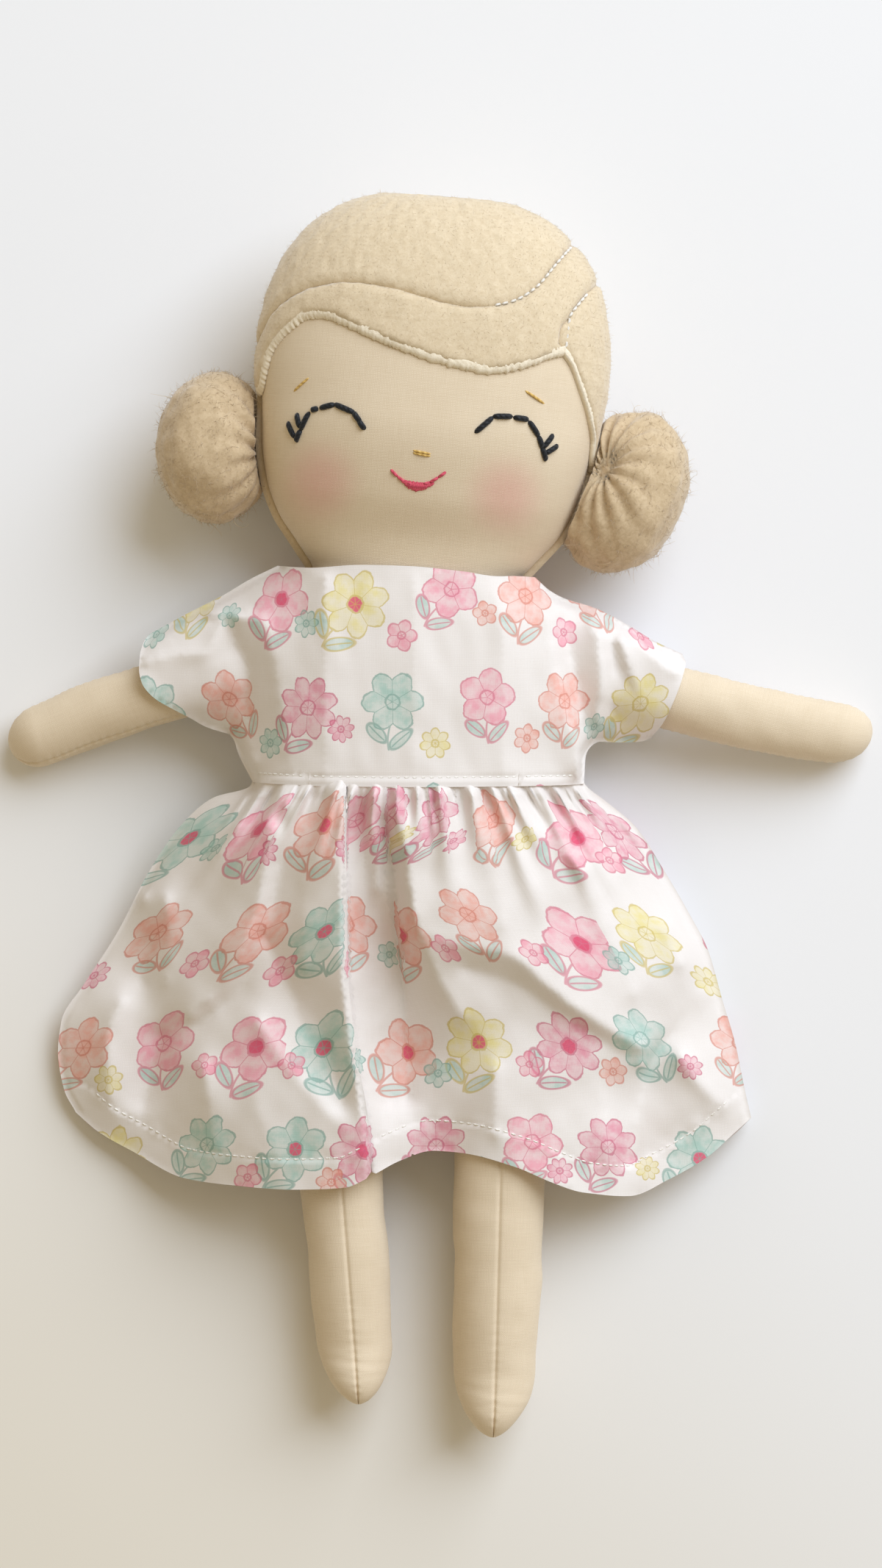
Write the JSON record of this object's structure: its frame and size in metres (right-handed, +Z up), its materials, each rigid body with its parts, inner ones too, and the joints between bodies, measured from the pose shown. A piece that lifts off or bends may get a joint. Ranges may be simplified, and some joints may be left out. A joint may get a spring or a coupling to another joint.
{
  "type": "cloth doll",
  "caption": "Soft stuffed cloth doll on its back: felt hair with side buns, stitched face, short-sleeved gathered dress, limbs that fold at their sewn seams.",
  "frame": {"origin": "middle of the base of the bounding box, with the doll lying on its back", "axes": "+Z up, out of the face; +Y towards the head; +X to the right of someone looking down at the face"},
  "size_m": [0.2484, 0.3544, 0.06],
  "materials": {
    "skin_cotton": "matte",
    "hair_felt": "matte",
    "bun_felt": "matte",
    "dress_cotton": "matte",
    "fibre_fill": "matte",
    "closure_tape": "matte",
    "black_thread": "satin",
    "gold_thread": "satin",
    "rose_thread": "satin"
  },
  "bodies": {
    "torso": {"torso_front_panel": "skin_cotton", "torso_back_panel": "skin_cotton", "torso_stuffing": "fibre_fill", "bodice_front": "dress_cotton", "bodice_back_left": "dress_cotton", "bodice_back_right": "dress_cotton", "left_sleeve": "dress_cotton", "right_sleeve": "dress_cotton", "skirt_front": "dress_cotton", "skirt_back": "dress_cotton", "closure_loop_tape": "closure_tape", "closure_hook_tape": "closure_tape"},
    "head": {"face_panel": "skin_cotton", "head_back_panel": "hair_felt", "hair_crown": "hair_felt", "hair_fringe": "hair_felt", "hair_side_lock": "hair_felt", "head_stuffing": "fibre_fill", "left_bun_cover": "bun_felt", "right_bun_cover": "bun_felt", "left_bun_stuffing": "fibre_fill", "right_bun_stuffing": "fibre_fill", "left_eye": "black_thread", "right_eye": "black_thread", "left_brow": "gold_thread", "right_brow": "gold_thread", "nose": "gold_thread", "mouth": "rose_thread"},
    "left_arm": {"left_arm_front": "skin_cotton", "left_arm_back": "skin_cotton", "left_arm_stuffing": "fibre_fill"},
    "right_arm": {"right_arm_front": "skin_cotton", "right_arm_back": "skin_cotton", "right_arm_stuffing": "fibre_fill"},
    "left_leg": {"left_leg_outer": "skin_cotton", "left_leg_inner": "skin_cotton", "left_leg_stuffing": "fibre_fill"},
    "right_leg": {"right_leg_outer": "skin_cotton", "right_leg_inner": "skin_cotton", "right_leg_stuffing": "fibre_fill"}
  },
  "joints": [
    {"name": "neck_nod", "type": "hinge", "parent": "torso", "child": "head", "pos_m": [-0.00744, 0.06659, 0.0253], "axis": [1, 0, 0], "range_deg": [-12, 15]},
    {"name": "left_shoulder", "type": "hinge", "parent": "torso", "child": "left_arm", "pos_m": [-0.04549, 0.04559, 0.0238], "axis": [0, 1, 0], "range_deg": [-25, 90], "deforming": ["left_sleeve"]},
    {"name": "right_shoulder", "type": "hinge", "parent": "torso", "child": "right_arm", "pos_m": [0.03061, 0.04559, 0.0238], "axis": [0, -1, 0], "range_deg": [-25, 90], "deforming": ["right_sleeve"]},
    {"name": "left_hip", "type": "hinge", "parent": "torso", "child": "left_leg", "pos_m": [-0.03344, -0.03566, 0.0238], "axis": [-1, 0, 0], "range_deg": [-15, 90], "deforming": ["skirt_front", "skirt_back"]},
    {"name": "right_hip", "type": "hinge", "parent": "torso", "child": "right_leg", "pos_m": [0.01856, -0.03566, 0.0238], "axis": [-1, 0, 0], "range_deg": [-15, 90], "deforming": ["skirt_front", "skirt_back"]}
  ]
}
